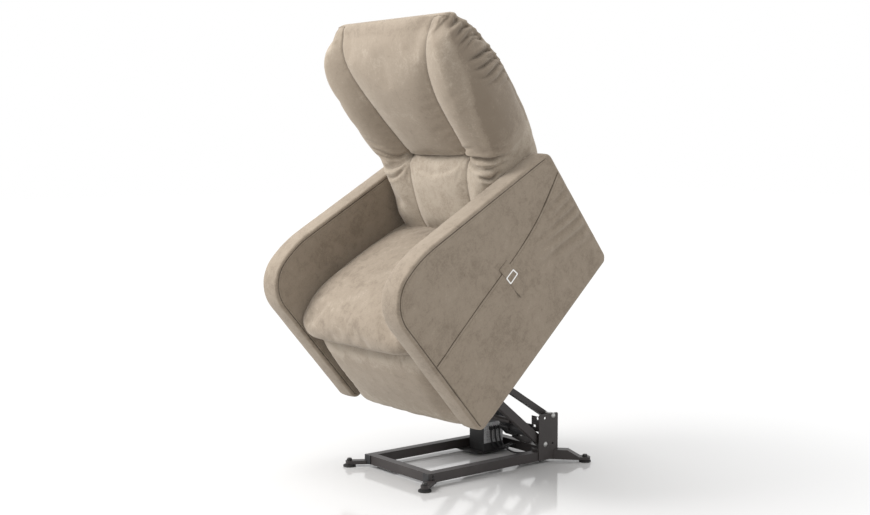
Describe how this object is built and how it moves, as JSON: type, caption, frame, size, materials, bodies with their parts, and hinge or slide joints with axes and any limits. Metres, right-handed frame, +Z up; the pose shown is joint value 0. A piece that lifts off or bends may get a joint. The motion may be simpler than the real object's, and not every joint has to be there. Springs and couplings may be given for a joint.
{
  "type": "lift recliner chair",
  "caption": "Powered lift and recline armchair on a steel link base, shown raised and tilted forward, with a footrest panel, padded back with sewn channels and box arms.",
  "frame": {"origin": "on the floor under the middle of the raised chair", "axes": "+Z up, the sitter faces -Y, +X is the sitter's left"},
  "size_m": [0.7434, 0.9067, 1.4624],
  "materials": {
    "frame_paint": "satin black-brown powder coat",
    "tray_paint": "satin black powder coat on sheet",
    "box_paint": "grey speckled paint on perforated sheet",
    "zinc": "zinc plated steel",
    "tag_metal": "off-white lacquered metal",
    "foot_rubber": "matte black rubber",
    "black_plastic": "matte black moulded plastic",
    "actuator_tube": "grey anodised tube",
    "rod_steel": "bright ground steel",
    "lead_sheath": "black flexible sheath",
    "plywood": "bare plywood",
    "webbing": "woven elastic webbing",
    "upholstery": "taupe suede microfibre with a soft nap"
  },
  "bodies": {
    "base": {"base_rails": "frame_paint", "base_cross_tubes": "frame_paint", "posts": "frame_paint", "front_foot_arms": "frame_paint", "rear_foot_arms": "frame_paint", "foot_pads": "foot_rubber", "base_bolts": "zinc", "rail_end_caps": "black_plastic", "motor_tray": "tray_paint", "power_box_base": "tray_paint", "power_box_cover": "box_paint", "power_inlet": "black_plastic", "actuator_bracket": "frame_paint", "base_pivot_pins": "zinc", "link_pivot_nuts": "zinc", "lead_fittings": "black_plastic", "lead_loop": "lead_sheath", "lead_middle": "lead_sheath", "lead_front": "lead_sheath"},
    "lower_links": {"lower_links": "frame_paint", "link_cross_tube": "frame_paint", "lower_link_bushes": "black_plastic"},
    "upper_links": {"upper_links": "frame_paint", "upper_link_bushes": "black_plastic", "upper_front_pins": "zinc"},
    "lift_actuator": {"lift_actuator_drive": "black_plastic", "lift_actuator_tube": "actuator_tube"},
    "lift_rod": {"lift_actuator_rod": "rod_steel"},
    "carriage": {"carriage_rails": "frame_paint", "carriage_cross_tubes": "frame_paint", "lift_plates": "frame_paint", "actuator_clevises": "frame_paint", "carriage_pins": "zinc", "arm_brackets": "frame_paint", "hinge_plates": "frame_paint", "seat_frame": "plywood", "seat_webbing": "webbing", "seat_cushion": "upholstery", "arm_boards": "plywood", "arm_padding_left": "upholstery", "arm_padding_right": "upholstery", "side_panels": "upholstery", "tag_tab": "upholstery", "tag_ring": "tag_metal", "rear_skirt": "upholstery"},
    "backrest": {"back_frame": "plywood", "back_webbing": "webbing", "back_cushion": "upholstery", "outer_back": "upholstery", "back_steel_plates": "frame_paint", "torque_tube": "frame_paint", "back_pins": "zinc"},
    "recline_actuator": {"recline_actuator_body": "black_plastic"},
    "recline_rod": {"recline_actuator_rod": "rod_steel"},
    "footrest_rear_links": {"footrest_rear_links": "frame_paint"},
    "footrest_front_links": {"footrest_front_links": "frame_paint"},
    "footrest": {"footrest_lugs": "frame_paint", "footrest_board": "plywood", "footrest_pad": "upholstery"}
  },
  "joints": [
    {"name": "lift", "type": "hinge", "parent": "base", "child": "lower_links", "pos_m": [0, 0.3195, 0.0635], "axis": [1, 0, 0], "range_deg": [0, 29.9]},
    {"name": "carriage_tilt", "type": "hinge", "parent": "lower_links", "child": "carriage", "pos_m": [0, -0.06708, 0.38217], "axis": [1, 0, 0], "range_deg": [-73.3, 0.3]},
    {"name": "upper_link_swing", "type": "hinge", "parent": "base", "child": "upper_links", "pos_m": [0, 0.3545, 0.158], "axis": [1, 0, 0], "range_deg": [-0.3, 30.25]},
    {"name": "lift_actuator_swing", "type": "hinge", "parent": "base", "child": "lift_actuator", "pos_m": [0, 0.325, 0.075], "axis": [1, 0, 0], "range_deg": [-0.3, 31.71]},
    {"name": "lift_actuator_stroke", "type": "slide", "parent": "lift_actuator", "child": "lift_rod", "axis": [0, -0.7322, 0.6811], "range_m": [-0.0477, 0.001]},
    {"name": "recline", "type": "hinge", "parent": "carriage", "child": "backrest", "pos_m": [0, 0.18859, 0.8575], "axis": [1, 0, 0], "range_deg": [-40, 0]},
    {"name": "recline_actuator_swing", "type": "hinge", "parent": "carriage", "child": "recline_actuator", "pos_m": [0, -0.04068, 0.49542], "axis": [1, 0, 0], "range_deg": [-0.3, 7.77]},
    {"name": "recline_actuator_stroke", "type": "slide", "parent": "recline_actuator", "child": "recline_rod", "axis": [0, 0.7109, 0.7032], "range_m": [-0.0524, 0.001]},
    {"name": "footrest", "type": "hinge", "parent": "carriage", "child": "footrest_rear_links", "pos_m": [0, -0.18072, 0.44924], "axis": [1, 0, 0], "range_deg": [-65.4, 0]},
    {"name": "footrest_link_swing", "type": "hinge", "parent": "footrest_rear_links", "child": "footrest_front_links", "pos_m": [0, -0.0474, 0.32449], "axis": [1, 0, 0], "range_deg": [-0.3, 78.4]},
    {"name": "footrest_panel_swing", "type": "hinge", "parent": "footrest_front_links", "child": "footrest", "pos_m": [0, -0.20048, 0.39255], "axis": [1, 0, 0], "range_deg": [-99.3, 0.3]}
  ],
  "couplings": [
    {"joint": "carriage_tilt", "follows": "lift", "ratio": -2.4413},
    {"joint": "upper_link_swing", "follows": "lift", "ratio": 1.0018},
    {"joint": "lift_actuator_swing", "follows": "lift", "ratio": 1.0503},
    {"joint": "lift_actuator_stroke", "follows": "lift", "m_per_rad": -0.089539},
    {"joint": "recline_actuator_swing", "follows": "recline", "ratio": -0.1868},
    {"joint": "recline_actuator_stroke", "follows": "recline", "m_per_rad": 0.07361},
    {"joint": "footrest_link_swing", "follows": "footrest", "ratio": -1.1942},
    {"joint": "footrest_panel_swing", "follows": "footrest", "ratio": 1.5138}
  ]
}
